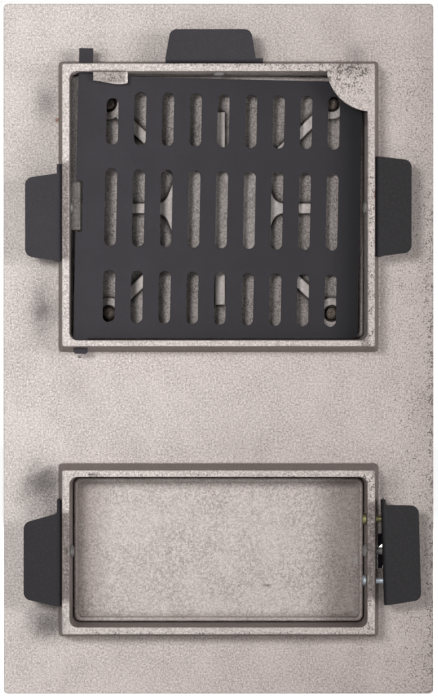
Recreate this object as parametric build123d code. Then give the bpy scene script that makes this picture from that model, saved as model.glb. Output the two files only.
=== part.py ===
"""Double stove door in one cast frame: fire door above, ash door below.

Units are millimetres. +Z is up, the room side faces -Y and the masonry side faces +Y. The
origin lies on the rear face of the frame plate, halfway between its sides, at the middle of
the band between the two collars. The hinges are at +X and the latches at -X.
"""
from build123d import *
import math
import os

# Frame plate
PLATE_HALF = 149.5
PLATE_LOW, PLATE_HIGH = -199.0, 281.0
PLATE_THICK = 6.0
PLATE_CORNER, PLATE_FRONT_EDGE, PLATE_REAR_EDGE = 3.0, 2.0, 0.8
BEAD_INSET, BEAD_WIDTH, BEAD_HIGH, BEAD_BEVEL = 5.0, 5.0, 2.0, 1.2

# Collars that reach back into the masonry: outer size at the plate, inner size at the rim
COLLAR_DEPTH = 32.0
COLLAR_HALF = 111.0
COLLAR_CORNER_FOOT, COLLAR_CORNER_RIM, RIM_EDGE, FOOT_FILLET = 2.4, 1.4, 0.9, 2.0
OUTER_DRAFT = 3.6
INNER_DRAFT = 1.0
INNER_HALF = 102.4
INNER_CORNER = 5.5
UPPER_OUTER, UPPER_INNER = (39.0, 240.4), (46.6, 231.6)
LOWER_OUTER, LOWER_INNER = (-158.7, -38.9), (-150.4, -46.9)
WALL_LEAN = math.degrees(math.atan(OUTER_DRAFT / COLLAR_DEPTH))

# Rear stops cast into the upper collar
CORNER_STOP_AT, CORNER_STOP_R, CORNER_STOP_THICK = (-105.4, 235.1), 31.2, 5.0
LUG_STOP_X, LUG_STOP_LOW, LUG_STOP_Y = (62.5, 86.1), 223.6, (21.6, 27.0)

# Doors
SEAT_GAP = 0.5
OVERLAP_SIDE = 7.6
OVERLAP_END = 8.0
FLANGE_THICK = 5.5
DOOR_CORNER = 6.0
FLANGE_REAR = -PLATE_THICK - SEAT_GAP
FLANGE_FRONT = FLANGE_REAR - FLANGE_THICK
REGISTER_GAP, REGISTER_WIDTH = 1.0, 2.6
PANEL_HALF, PANEL_MARGIN, PANEL_HIGH, PANEL_BEVEL = 86.0, 23.0, 4.5, 4.0
RECESS_DEEP, RECESS_INSET = 4.0, 3.0
FIELD_BEAD_INSET, FIELD_BEAD_WIDE, FIELD_BEAD_HIGH = 6.0, 3.2, 1.4
PAN_DEEP, PAN_ROUND, PAN_RIB_REAR = 1.6, 3.0, 1.0
POST_R, TAPPED_DEEP = 7.0, 8.0
PANEL_FRONT = FLANGE_FRONT - PANEL_HIGH

# Hinges
HINGE_X, HINGE_Y = 118.0, -14.0
KNUCKLE_R, PIN_R, PIN_FIT = 6.0, 3.0, 0.05
KNUCKLE_HIGH, KNUCKLE_GAP = 12.0, 0.3
FIRE_HINGE_Z = (66.6, 214.0)
ASH_HINGE_Z = (-142.0, -54.0)
ARM_REACH = 24.0

# Latches: the bar turns on a shoulder screw and drops behind a cast hook
FIRE_LATCH_Z, ASH_LATCH_Z = 133.0, -106.5
LATCH_PIVOT_X = -97.0
LATCH_REST_LIFT = 45.0
LATCH_BOSS_R, LATCH_BOSS_HIGH = 7.5, 0.4
LATCH_SCREW_END = FLANGE_REAR - 1.0
BAR_REAR, BAR_THICK, BAR_HALF, BAR_LONG = -12.6, 3.5, 4.5, 42.0
PIVOT_EYE_R, KNOB_EYE_R, KNOB_PIN_R = 7.0, 6.0, 2.0
KNOB_FOOT = (5.6, 2.2)
KNOB_PROFILE = ((3.4, 3.0), (3.0, 8.0), (5.2, 13.0), (8.6, 18.5), (8.2, 24.0), (4.6, 27.4), (0, 28.4))
LATCH_HEAD = ((6.0, 0), (6.0, 1.6), (4.6, 2.6), (0, 2.6))
HOOK_X = (-115.0, -110.6)
HOOK_FRONT, HOOK_FINGER = -22.0, 4.4
HOOK_SEAT, HOOK_TOP, HOOK_FOOT = -6.5, 5.0, -17.5
SLOT_X, SLOT_FOOT, SLOT_TOP, SLOT_REAR = (-114.5, -110.4), -5.5, 19.0, 3.0

# Ember guard, a slotted sheet that hangs on two tongues in the upper collar
GUARD_AT = (93.3, 20.0, 139.7)
GUARD_THICK = 2.0
GUARD_LEAN, GUARD_SWING = 1.1, 3.9
GUARD_END, GUARD_BACK = 191.8, -5.1
GUARD_TOP, GUARD_LOW, GUARD_LOW_END = 89.7, -91.2, -88.0
SLOT_WIDE, SLOT_FIRST, SLOT_STEP, SLOT_COLUMNS = 8.2, 18.9, 19.2, 9
SLOT_ROWS = ((42.5, 79.3), (-27.4, 26.1), (-80.2, -44.0))
SLOT_SHORT_TOP = 74.6
TONGUE_HALF, TONGUE_TOP, TONGUE_LOW, TONGUE_CHAMFER = 4.9, 108.6, -102.3, 1.3
NOTCH_EDGE, NOTCH_LOW, NOTCH_HIGH, NOTCH_R = -0.5, -18.4, 17.2, 1.4
TONGUE_HOLE_R, TONGUE_HOLE_AT, TONGUE_HOLE_HALF = 5.5, (96.0, -96.5), 9.0

# Ribbed liner on the back of the fire door
LINER_AT = (-1.2, 138.5)
LINER_HALF, LINER_TOP, LINER_BOTTOM = 96.0, 87.5, 86.3
LINER_REAR, LINER_THICK, LINER_CORNER = -1.0, 4.0, 6.0
RIB_WIDE, RIB_HIGH, RIB_REACH = 6.8, 3.2, 67.0
HUB_R, HUB_FILLET = 40.0, 9.0
BOSS_X, BOSS_Z = 77.6, 73.0
BOSS_R, BOSS_HIGH, COUNTERBORE_R, COUNTERBORE_DEEP = 11.0, 2.5, 6.0, 3.6
SCREW_R, SCREW_HEAD_R, SCREW_HEAD_HIGH, SCREW_GRIP = 2.5, 4.75, 3.0, 7.5
RECESS_LONG, RECESS_WIDE, RECESS_CUT = 4.4, 1.1, 1.6

# Wall anchors of bent sheet steel: flange at the rim, leg down the collar wall
SHEET = 3.0
BEND_R = 3.4
LEG_START = 7.0
ANCHOR_CORNER = 5.5

# Each anchor's leg, flange root and flange tip along its wall, and how far the flange reaches
HINGE_UPPER = ((101.2, 167.8), (101.2, 161.4), (104.6, 158.2), 25.4)
HINGE_LOWER = ((-136.0, -62.8), (-136.0, -72.2), (-130.8, -78.6), 26.4)
LATCH_UPPER = ((-173.0, -104.4), (-173.0, -104.4), (-170.4, -107.2), 25.2)
LATCH_LOWER = ((62.8, 135.2), (66.4, 135.2), (67.4, 132.3), 26.2)
TOP = ((-36.5, 30.5), (-36.5, 25.6), (-33.0, 22.4), 23.6)

# Rivets through the anchors: height and side; screws and nuts of the lug that is bent away
RIVET_Y, RIVET_R, RIVET_HEAD_R, RIVET_HEAD_HIGH = 18.0, 2.5, 4.65, 2.4
RIVET_TAIL_R, RIVET_TAIL_HIGH, RIVET_SINK = 4.2, 1.8, 1.0
RIVETS = {
    "rivet_hinge_upper": (138.3, 1),
    "rivet_hinge_lower": (-98.8, 1),
    "rivet_latch_upper": (138.3, -1),
    "rivet_latch_lower": (-98.5, -1),
}
LOOSE_SHIFT, LOOSE_TURN, LOOSE_PIVOT_Z = 4.7, 1.7, -98.5
LOOSE_SCREW_Z = (-76.5, -119.1)
M4_R, M4_HEAD_R, M4_HEAD_HIGH, M4_LONG, M4_FLATS, M4_NUT_HIGH = 2.0, 3.9, 2.4, 20.0, 7.0, 3.2


def across(y):
    """Drawing plane parallel to the plate at depth y: local x is X, local y is Z."""
    return Plane(origin=(0, y, 0), x_dir=(1, 0, 0), z_dir=(0, -1, 0))


def slab(outline, y_front, y_rear):
    """Outline drawn as seen from the front, as a solid between two depths."""
    return extrude(across(y_rear) * outline, y_rear - y_front)


def box(x, y, z):
    """Block between the corners given as pairs."""
    size = [pair[1] - pair[0] for pair in (x, y, z)]
    middle = [(pair[1] + pair[0]) / 2 for pair in (x, y, z)]
    return Pos(*middle) * Box(*size)


def rounded(half_x, z_range, radius):
    """Rectangle with rounded corners, symmetrical about X = 0."""
    low, high = z_range
    return Pos(0, (low + high) / 2) * RectangleRounded(2 * half_x, high - low, radius)


def inset(z_range, by):
    """The same range, shorter by the given amount at both ends."""
    return z_range[0] + by, z_range[1] - by


def rod_y(radius, x, z, y_front, y_rear):
    """Round bar that runs front to back."""
    return slab(Pos(x, z) * Circle(radius), y_front, y_rear)


def rod_z(radius, x, y, low, high):
    """Upright round bar."""
    return Pos(x, y, (low + high) / 2) * Cylinder(radius, high - low)


def turned(profile_points, position, direction):
    """Solid of revolution: the points are (radius, distance along direction)."""
    face = make_face(Polyline(*[(r, 0, t) for r, t in profile_points], close=True))
    return Plane(origin=position, z_dir=direction) * revolve(face, Axis.Z)


def tapered(at_plate, at_rim, y_plate, y_rim):
    """Tapered block between two rounded rectangles, each given as half width, range, radius."""
    return loft([across(y_plate) * rounded(*at_plate), across(y_rim) * rounded(*at_rim)],
                ruled=True)


def collar_outside(outer):
    at_plate = (COLLAR_HALF, outer, COLLAR_CORNER_FOOT)
    at_rim = (COLLAR_HALF - OUTER_DRAFT, inset(outer, OUTER_DRAFT), COLLAR_CORNER_RIM)
    return tapered(at_plate, at_rim, 0, COLLAR_DEPTH)


def opening(inner):
    """Opening in the plate, where the collar's inside is smallest."""
    return rounded(INNER_HALF - INNER_DRAFT, inset(inner, INNER_DRAFT), INNER_CORNER)


def collar_inside(inner):
    at_plate = (INNER_HALF - INNER_DRAFT, inset(inner, INNER_DRAFT), INNER_CORNER)
    at_rim = (INNER_HALF, inner, INNER_CORNER)
    return tapered(at_plate, at_rim, 0, COLLAR_DEPTH) + slab(opening(inner), -PLATE_THICK, 0)


def guard_plane():
    """Plane of the sheet at rest: local x to the free edge, local y up, on the hinge axis."""
    lean, swing = math.radians(GUARD_LEAN), math.radians(GUARD_SWING)
    along = Vector(-math.cos(lean) * math.cos(swing), -math.sin(swing),
                   -math.sin(lean) * math.cos(swing))
    up = Vector(-math.sin(lean), 0, math.cos(lean))
    return Plane(origin=GUARD_AT, x_dir=along, z_dir=along.cross(up))


def wall_x(y):
    """Outer face of a collar side wall at depth y."""
    return COLLAR_HALF - OUTER_DRAFT * y / COLLAR_DEPTH


def keeper(latch_z):
    """Cast hook on the plate's front; the gap behind its finger is open at the top."""
    low, seat, top = (latch_z + level for level in (HOOK_FOOT, HOOK_SEAT, HOOK_TOP))
    block = box(HOOK_X, (HOOK_FRONT, -PLATE_THICK), (low, seat))
    finger = box(HOOK_X, (HOOK_FRONT, HOOK_FRONT + HOOK_FINGER), (low, top))
    hook = block + finger
    front_edges = hook.edges().filter_by(Axis.X).group_by(Axis.Y)[0]
    return fillet(front_edges, 2.0)


def frame_knuckle(hinge_z):
    """Frame half of a hinge, with the hole that holds the pin."""
    outline = Pos(HINGE_X, HINGE_Y) * Circle(KNUCKLE_R)
    foot_mid = (HINGE_Y - PLATE_THICK) / 2
    outline += Pos(HINGE_X, foot_mid) * Rectangle(2 * KNUCKLE_R, -PLATE_THICK - HINGE_Y)
    low = hinge_z - KNUCKLE_HIGH
    return extrude(Plane.XY.offset(low) * outline, KNUCKLE_HIGH - KNUCKLE_GAP / 2)


def corner_stop():
    """Quarter disc across the upper collar's far top corner, flush with the rim."""
    front = COLLAR_DEPTH - CORNER_STOP_THICK
    disc = slab(Pos(*CORNER_STOP_AT) * Circle(CORNER_STOP_R), front, COLLAR_DEPTH)
    corner = rounded(INNER_HALF + 1, inset(UPPER_INNER, -1), INNER_CORNER)
    return disc & slab(corner, front, COLLAR_DEPTH)


def front_bead():
    """Low bevelled bead round the front of the plate."""
    ring = None
    for margin, radius in ((BEAD_INSET, 4.0), (BEAD_INSET + BEAD_WIDTH, 2.0)):
        edge = rounded(PLATE_HALF - margin, inset((PLATE_LOW, PLATE_HIGH), margin), radius)
        ring = edge if ring is None else ring - edge
    bead = slab(ring, -PLATE_THICK - BEAD_HIGH, -PLATE_THICK)
    return chamfer(bead.faces().sort_by(Axis.Y)[0].edges(), BEAD_BEVEL)


def stop_lug():
    """Lug under the upper collar's top wall, with the uneven lower edge of the casting."""
    x0, x1 = LUG_STOP_X
    low, high = LUG_STOP_LOW, UPPER_INNER[1] + 2
    edge = Spline((x0, low + 0.4), (x0 + 7, low - 0.5), (x0 + 15, low + 0.7), (x1, low + 2.0))
    sides = Polyline((x1, low + 2.0), (x1, high), (x0, high), (x0, low + 0.4))
    return slab(make_face(edge + sides), *LUG_STOP_Y)


def tongue_hole(b_level):
    """Upright round hole for a guard tongue, where the leaning axis crosses the wall."""
    x = GUARD_AT[0] - math.sin(math.radians(GUARD_LEAN)) * b_level
    z = GUARD_AT[2] + b_level
    return rod_z(TONGUE_HOLE_R, x, GUARD_AT[1], z - TONGUE_HOLE_HALF, z + TONGUE_HOLE_HALF)


def frame_casting():
    """Plate, two collars, stops, hooks and hinge knuckles, cast in one piece."""
    plate = slab(rounded(PLATE_HALF, (PLATE_LOW, PLATE_HIGH), PLATE_CORNER), -PLATE_THICK, 0)
    front_rim = plate.faces().sort_by(Axis.Y)[0].edges()
    plate = fillet(front_rim, PLATE_FRONT_EDGE)
    rear_rim = plate.faces().sort_by(Axis.Y)[-1].edges()
    plate = fillet(rear_rim, PLATE_REAR_EDGE)
    body = plate + collar_outside(UPPER_OUTER) + collar_outside(LOWER_OUTER)
    feet = body.edges().filter_by(Plane.XZ).filter_by(
        lambda e: abs(e.center().Y) < 0.01 and abs(e.center().X) < COLLAR_HALF + 1
        and PLATE_LOW + 5 < e.center().Z < PLATE_HIGH - 5)
    body = fillet(feet, FOOT_FILLET)
    rims = body.edges().filter_by(lambda e: abs(e.center().Y - COLLAR_DEPTH) < 0.01)
    body = fillet(rims, RIM_EDGE)
    body -= collar_inside(UPPER_INNER)
    body -= collar_inside(LOWER_INNER)
    body += corner_stop()
    body += stop_lug()
    body += front_bead()
    for latch_z in (FIRE_LATCH_Z, ASH_LATCH_Z):
        body += keeper(latch_z)
        body -= box(SLOT_X, (-PLATE_THICK, SLOT_REAR), (latch_z + SLOT_FOOT, latch_z + SLOT_TOP))
    for hinge_z in FIRE_HINGE_Z + ASH_HINGE_Z:
        body += frame_knuckle(hinge_z)
        body -= rod_z(PIN_R, HINGE_X, HINGE_Y, hinge_z - KNUCKLE_HIGH, hinge_z)
    for b_level in TONGUE_HOLE_AT:
        body -= tongue_hole(b_level)
    for hole in anchor_holes():
        body -= hole
    return body


def door_ranges(inner):
    """Heights of the flange and of the register rib for the opening behind a door."""
    hole = inset(inner, INNER_DRAFT)
    return inset(hole, -OVERLAP_END), inset(hole, REGISTER_GAP)


def register_rib(z_range, y_rear):
    """Rib on the back of a door that enters the opening."""
    half = INNER_HALF - INNER_DRAFT - REGISTER_GAP
    outer = rounded(half, z_range, INNER_CORNER - 1)
    inner = rounded(half - REGISTER_WIDTH, inset(z_range, REGISTER_WIDTH), INNER_CORNER - 2.5)
    rib = slab(outer - inner, FLANGE_REAR - 0.5, y_rear)
    return fillet(rib.faces().sort_by(Axis.Y)[-1].edges(), REGISTER_WIDTH / 2 - 0.1)


def hinge_arm(hinge_z):
    """Door half of a hinge: a strap cast on the flange that ends in the upper knuckle."""
    outline = Pos(HINGE_X, HINGE_Y) * Circle(KNUCKLE_R)
    strap_front = HINGE_Y - KNUCKLE_R
    strap = Polyline((HINGE_X, strap_front), (HINGE_X, HINGE_Y), (HINGE_X - 4.5, HINGE_Y + 4),
                     (HINGE_X - 9.5, FLANGE_FRONT + 1), (HINGE_X - ARM_REACH, FLANGE_FRONT + 1),
                     (HINGE_X - ARM_REACH, FLANGE_FRONT - 2), close=True)
    outline += make_face(strap)
    low = hinge_z + KNUCKLE_GAP / 2
    arm = extrude(Plane.XY.offset(low) * outline, KNUCKLE_HIGH - KNUCKLE_GAP / 2)
    bore = rod_z(PIN_R + PIN_FIT, HINGE_X, HINGE_Y, low, hinge_z + KNUCKLE_HIGH)
    return arm, bore


def raised_panel(panel_z):
    """Bevelled field on a door's front with a bead inside its edge."""
    top_z = inset(panel_z, PANEL_BEVEL)
    top_half = PANEL_HALF - PANEL_BEVEL
    field = tapered((top_half, top_z, 3.0), (PANEL_HALF, panel_z, 5.0), PANEL_FRONT, FLANGE_FRONT)
    bead_z = inset(top_z, FIELD_BEAD_INSET)
    bead_half = top_half - FIELD_BEAD_INSET
    ring = rounded(bead_half, bead_z, 4.0)
    ring -= rounded(bead_half - FIELD_BEAD_WIDE, inset(bead_z, FIELD_BEAD_WIDE), 2.0)
    bead = slab(ring, PANEL_FRONT - FIELD_BEAD_HIGH, PANEL_FRONT)
    return field + chamfer(bead.faces().sort_by(Axis.Y)[0].edges(), 1.0)


def door_casting(inner, hinge_levels, latch_z, rib_rear, hollow):
    """Flange, raised panel, register rib, hinge straps and latch boss, less the hollow back."""
    flange_z, rib_z = door_ranges(inner)
    half = INNER_HALF - INNER_DRAFT + OVERLAP_SIDE
    flange = slab(rounded(half, flange_z, DOOR_CORNER), FLANGE_FRONT, FLANGE_REAR)
    flange = fillet(flange.faces().sort_by(Axis.Y)[0].edges(), 1.5)
    body = flange + raised_panel(inset(flange_z, PANEL_MARGIN))
    body -= hollow
    body += register_rib(rib_z, rib_rear)
    bores = []
    for hinge_z in hinge_levels:
        arm, bore = hinge_arm(hinge_z)
        body += arm
        bores.append(bore)
    boss_front = FLANGE_FRONT - LATCH_BOSS_HIGH
    body += rod_y(LATCH_BOSS_R, LATCH_PIVOT_X, latch_z, boss_front, FLANGE_FRONT)
    bores.append(rod_y(PIN_R, LATCH_PIVOT_X, latch_z, boss_front, LATCH_SCREW_END))
    for bore in bores:
        body -= bore
    return body


def liner_screw_spots():
    """Places of the four liner screws, from the hinge side's top round to its foot."""
    x, z = LINER_AT
    return [(x + BOSS_X, z + BOSS_Z), (x - BOSS_X, z + BOSS_Z),
            (x - BOSS_X, z - BOSS_Z), (x + BOSS_X, z - BOSS_Z)]


def fire_door():
    """Upper door, with four posts in its hollow back that carry the liner."""
    panel_z = inset(door_ranges(UPPER_INNER)[0], PANEL_MARGIN)
    floor = FLANGE_REAR - RECESS_DEEP
    hollow = slab(rounded(PANEL_HALF - RECESS_INSET, inset(panel_z, RECESS_INSET), 4.0),
                  floor, FLANGE_REAR)
    body = door_casting(UPPER_INNER, FIRE_HINGE_Z, FIRE_LATCH_Z, LINER_REAR, hollow)
    liner_front = LINER_REAR - LINER_THICK
    for x, z in liner_screw_spots():
        body += rod_y(POST_R, x, z, floor - 0.5, liner_front)
        body -= rod_y(SCREW_R, x, z, liner_front - TAPPED_DEEP, liner_front)
    return body


def ash_door():
    """Lower door: a plain shallow pan seen from behind, its floor rounded into the rib."""
    rib_z = door_ranges(LOWER_INNER)[1]
    edge = REGISTER_WIDTH / 2
    half = INNER_HALF - INNER_DRAFT - REGISTER_GAP - edge
    floor = (half - PAN_ROUND, inset(rib_z, edge + PAN_ROUND), INNER_CORNER - edge)
    mouth = (half, inset(rib_z, edge), INNER_CORNER - edge)
    hollow = tapered(floor, mouth, FLANGE_REAR - PAN_DEEP, FLANGE_REAR)
    return door_casting(LOWER_INNER, ASH_HINGE_Z, ASH_LATCH_Z, PAN_RIB_REAR, hollow)


def spider_outline():
    """Eight ribs that meet in a flat hub, with hollow curves between them."""
    x, z = LINER_AT
    diagonal = math.hypot(BOSS_X, BOSS_Z)
    tilt = math.degrees(math.atan2(BOSS_Z, BOSS_X))
    outline = RegularPolygon(HUB_R, 8, rotation=0)
    for angle in (0, 90, 180, 270):
        outline += Rot(0, 0, angle) * Pos(RIB_REACH / 2, 0) * Rectangle(RIB_REACH, RIB_WIDE)
    for angle in (tilt, 180 - tilt, 180 + tilt, -tilt):
        outline += Rot(0, 0, angle) * Pos(diagonal / 2, 0) * Rectangle(diagonal, RIB_WIDE)
    reach = HUB_R + 2
    inner = [v for v in outline.vertices() if HUB_R - 6 < math.hypot(v.X, v.Y) < reach]
    outline = fillet(inner, HUB_FILLET)
    return Pos(x, z) * outline


def fire_door_liner():
    """Cast plate that shields the fire door, with its ribs and screw bosses to the rear."""
    x, z = LINER_AT
    z_range = (z - LINER_BOTTOM, z + LINER_TOP)
    plate = slab(rounded(LINER_HALF, z_range, LINER_CORNER), LINER_REAR - LINER_THICK, LINER_REAR)
    ribs = slab(spider_outline(), LINER_REAR - 0.5, LINER_REAR + RIB_HIGH)
    top_edges = ribs.faces().sort_by(Axis.Y)[-1].edges()
    ribs = chamfer(top_edges, 0.5)
    body = plate + ribs
    boss_top = LINER_REAR + BOSS_HIGH
    for spot_x, spot_z in liner_screw_spots():
        boss = rod_y(BOSS_R, spot_x, spot_z, LINER_REAR - 0.5, boss_top)
        body += chamfer(boss.faces().sort_by(Axis.Y)[-1].edges(), 0.5)
    for spot_x, spot_z in liner_screw_spots():
        body -= rod_y(BOSS_R, spot_x, spot_z, boss_top, boss_top + RIB_HIGH)
        body -= rod_y(COUNTERBORE_R, spot_x, spot_z, boss_top - COUNTERBORE_DEEP, boss_top)
        body -= rod_y(SCREW_R + 0.3, spot_x, spot_z, LINER_REAR - LINER_THICK, LINER_REAR)
    return body


def cross_recess(top):
    """Cross drive cut into a screw head whose top is at the local height given."""
    arm = Box(RECESS_LONG, RECESS_WIDE, RECESS_CUT, align=(Align.CENTER, Align.CENTER, Align.MAX))
    cross = arm + Rot(0, 0, 90) * arm
    return Pos(0, 0, top) * cross


def pan_screw(shank_r, head_r, head_high, long):
    """Pan head screw along local Z, head upward with its seat at height 0."""
    dome = turned([(0, 0), (head_r, 0), (head_r, head_high * 0.45), (head_r * 0.82, head_high * 0.86),
                   (head_r * 0.5, head_high), (0, head_high)], (0, 0, 0), (0, 0, 1))
    shank = Pos(0, 0, -long / 2) * Cylinder(shank_r, long)
    return dome + shank - cross_recess(head_high + 0.1)


def liner_screw(x, z):
    seat = LINER_REAR + BOSS_HIGH - COUNTERBORE_DEEP
    long = seat - LINER_REAR + LINER_THICK + SCREW_GRIP
    screw = pan_screw(SCREW_R, SCREW_HEAD_R, SCREW_HEAD_HIGH, long)
    return Plane(origin=(x, seat, z), x_dir=(1, 0, 0.35), z_dir=(0, 1, 0)) * screw


def ember_guard():
    """Slotted steel sheet with two tongues that turn in the collar."""
    corners = [(GUARD_BACK, GUARD_LOW), (-TONGUE_HALF - 0.1, GUARD_LOW),
               (-TONGUE_HALF, TONGUE_LOW + TONGUE_CHAMFER),
               (-TONGUE_HALF + TONGUE_CHAMFER, TONGUE_LOW),
               (TONGUE_HALF - TONGUE_CHAMFER, TONGUE_LOW),
               (TONGUE_HALF, TONGUE_LOW + TONGUE_CHAMFER),
               (TONGUE_HALF, GUARD_LOW), (GUARD_END, GUARD_LOW_END), (GUARD_END, GUARD_TOP),
               (TONGUE_HALF, GUARD_TOP), (TONGUE_HALF, TONGUE_TOP), (-TONGUE_HALF, TONGUE_TOP),
               (-TONGUE_HALF, GUARD_TOP), (GUARD_BACK, GUARD_TOP)]
    outline = make_face(Polyline(*corners, close=True))
    far_corners = outline.vertices().sort_by(Axis.X)[-2:]
    outline = fillet(far_corners, 3.5)
    notch = Pos((GUARD_BACK - 3 + NOTCH_EDGE) / 2, (NOTCH_LOW + NOTCH_HIGH) / 2) * RectangleRounded(
        NOTCH_EDGE - GUARD_BACK + 3, NOTCH_HIGH - NOTCH_LOW, NOTCH_R)
    outline -= notch
    for column in range(SLOT_COLUMNS):
        a = SLOT_FIRST + column * SLOT_STEP
        for low, high in SLOT_ROWS:
            if column == 0 and low > 0:
                high = SLOT_SHORT_TOP
            outline -= Pos(a, (low + high) / 2) * SlotOverall(high - low, SLOT_WIDE, rotation=90)
    return extrude(guard_plane() * outline, GUARD_THICK / 2, both=True)


def anchor(leg, flange, end, reach):
    """Bent lug beside the +X wall: leg, flange and outer end are ranges along Z."""
    rim, lean = COLLAR_DEPTH, math.radians(WALL_LEAN)
    step = SHEET / math.cos(lean)
    inner_turn = step + 0.6
    profile = make_face(Polyline(
        (wall_x(LEG_START), LEG_START), (wall_x(rim), rim), (wall_x(rim) + reach, rim),
        (wall_x(rim) + reach, rim - SHEET), (wall_x(rim) + inner_turn, rim - SHEET),
        (wall_x(rim - SHEET) + step, rim - SHEET - 0.6), (wall_x(LEG_START) + step, LEG_START),
        close=True))
    bend = [v for v in profile.vertices() if abs(v.Y - rim) < 0.01 and v.X < wall_x(rim) + 1]
    profile = fillet(bend, BEND_R)
    strip = extrude(Plane.XY.offset(leg[0]) * profile, leg[1] - leg[0])
    root = wall_x(rim) + inner_turn
    tip = wall_x(rim) + reach
    plan = Polyline((0, leg[0] - 1), (root, leg[0] - 1), (root, flange[0]), (tip, end[0]),
                    (tip, end[1]), (root, flange[1]), (root, leg[1] + 1), (0, leg[1] + 1),
                    close=True)
    plan = make_face(plan)
    tips = [v for v in plan.vertices() if abs(v.X - tip) < 0.01]
    plan = fillet(tips, ANCHOR_CORNER)
    lug = strip & slab(plan, 0, rim + 1)
    return lug


def anchor_hinge_upper():
    return anchor(*HINGE_UPPER)


def anchor_hinge_lower():
    return anchor(*HINGE_LOWER)


def turned_round(lug, angle):
    """The same lug beside another wall: turned about the Y axis."""
    return Rot(0, angle, 0) * lug


def anchor_top():
    """Lug above the upper collar; the turn carries +X to +Z and +Z to -X."""
    shift = UPPER_OUTER[1] - COLLAR_HALF
    return Pos(0, 0, shift) * turned_round(anchor(*TOP), -90)


def anchor_latch_upper():
    return turned_round(anchor(*LATCH_UPPER), 180)


def loose(piece):
    """Moves a piece with the latch side's lower lug, which is bent away from the wall."""
    pivot = (-wall_x(COLLAR_DEPTH), 0, LOOSE_PIVOT_Z)
    return Pos(-LOOSE_SHIFT, 0, 0) * Pos(*pivot) * Rot(0, LOOSE_TURN, 0) * Pos(
        -pivot[0], 0, -pivot[2]) * piece


def anchor_latch_lower():
    return loose(turned_round(anchor(*LATCH_LOWER), 180))


def side_pin(radius, z, side):
    """Round bar through a collar side wall and the lug outside it, at the rivets' depth."""
    start, end = INNER_HALF - 2 * SHEET, COLLAR_HALF + 3 * SHEET
    middle = side * (start + end) / 2
    return Pos(middle, RIVET_Y, z) * Rot(0, 90, 0) * Cylinder(radius, end - start)


def top_pin(radius, z_from, z_to):
    return rod_z(radius, 0, RIVET_Y, z_from, z_to)


def anchor_holes():
    """Holes for rivets and screws through the collar walls."""
    holes = [side_pin(RIVET_R, z, side) for z, side in RIVETS.values()]
    holes += [side_pin(M4_R, z, -1) for z in LOOSE_SCREW_Z]
    holes.append(top_pin(RIVET_R, UPPER_INNER[1] - SHEET, UPPER_OUTER[1] + SHEET))
    return holes


def dome_profile(radius, high, sink):
    """Rivet head profile from its flat, which sinks into the wall, to its crown."""
    return [(0, -sink), (radius, -sink), (radius, high * 0.2), (radius * 0.9, high * 0.55),
            (radius * 0.62, high * 0.86), (radius * 0.3, high), (0, high)]


def rivet_along(start, direction, grip):
    """Rivet with a domed head at start and an upset tail past its grip, both sunk a little."""
    head = turned(dome_profile(RIVET_HEAD_R, RIVET_HEAD_HIGH, RIVET_SINK), start,
                  tuple(-v for v in direction))
    end = tuple(s + v * grip for s, v in zip(start, direction))
    tail = turned(dome_profile(RIVET_TAIL_R, RIVET_TAIL_HIGH, RIVET_SINK), end, direction)
    shank = turned([(0, 0), (RIVET_R, 0), (RIVET_R, grip), (0, grip)], start, direction)
    return head + tail + shank


def wall_inner_x(y):
    """Inner face of a collar side wall at depth y."""
    return INNER_HALF - INNER_DRAFT + INNER_DRAFT * y / COLLAR_DEPTH


def side_rivet(z, side, away=0.0):
    inner, outer = wall_inner_x(RIVET_Y), wall_x(RIVET_Y) + SHEET + away
    return rivet_along((side * inner, RIVET_Y, z), (side, 0, 0), outer - inner)


def top_rivet():
    inner = UPPER_INNER[1] - INNER_DRAFT + INNER_DRAFT * RIVET_Y / COLLAR_DEPTH
    outer = UPPER_OUTER[1] - OUTER_DRAFT * RIVET_Y / COLLAR_DEPTH + SHEET
    return rivet_along((0, RIVET_Y, inner), (0, 0, 1), outer - inner)


def loose_screw(z):
    """M4 screw from inside the collar, across the gap to the loose lug."""
    seat = -wall_inner_x(RIVET_Y)
    screw = pan_screw(M4_R, M4_HEAD_R, M4_HEAD_HIGH, M4_LONG)
    return Plane(origin=(seat + 0.3, RIVET_Y, z), x_dir=(0, 0.4, 1), z_dir=(1, 0, 0)) * screw


def loose_nut(z, lug):
    """M4 nut against the outer face of the loose lug's leg."""
    gap = LOOSE_SHIFT + (LOOSE_PIVOT_Z - z) * math.sin(math.radians(LOOSE_TURN))
    seat = -(wall_x(RIVET_Y) + SHEET + gap) + 0.4
    hexagon = RegularPolygon(M4_FLATS / 2, 6, major_radius=False) - Circle(M4_R)
    nut = extrude(hexagon, M4_NUT_HIGH)
    return Plane(origin=(seat, RIVET_Y, z), x_dir=(0, 0, 1), z_dir=(-1, 0, 0)) * nut - lug


def hinge_pin(hinge_z):
    """Steel pin held in the frame knuckle; its rounded end carries the door knuckle."""
    low, high = -KNUCKLE_HIGH, KNUCKLE_HIGH - 1.0
    points = [(0, low), (PIN_R, low), (PIN_R, high - 1.0), (PIN_R - 0.8, high), (0, high)]
    return turned(points, (HINGE_X, HINGE_Y, hinge_z), (0, 0, 1))


def latch_frame(latch_z):
    """Local frame of a latch: X to the pivot's left as latched, turned up to its rest."""
    return Pos(LATCH_PIVOT_X, 0, latch_z) * Rot(0, LATCH_REST_LIFT, 0)


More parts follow.
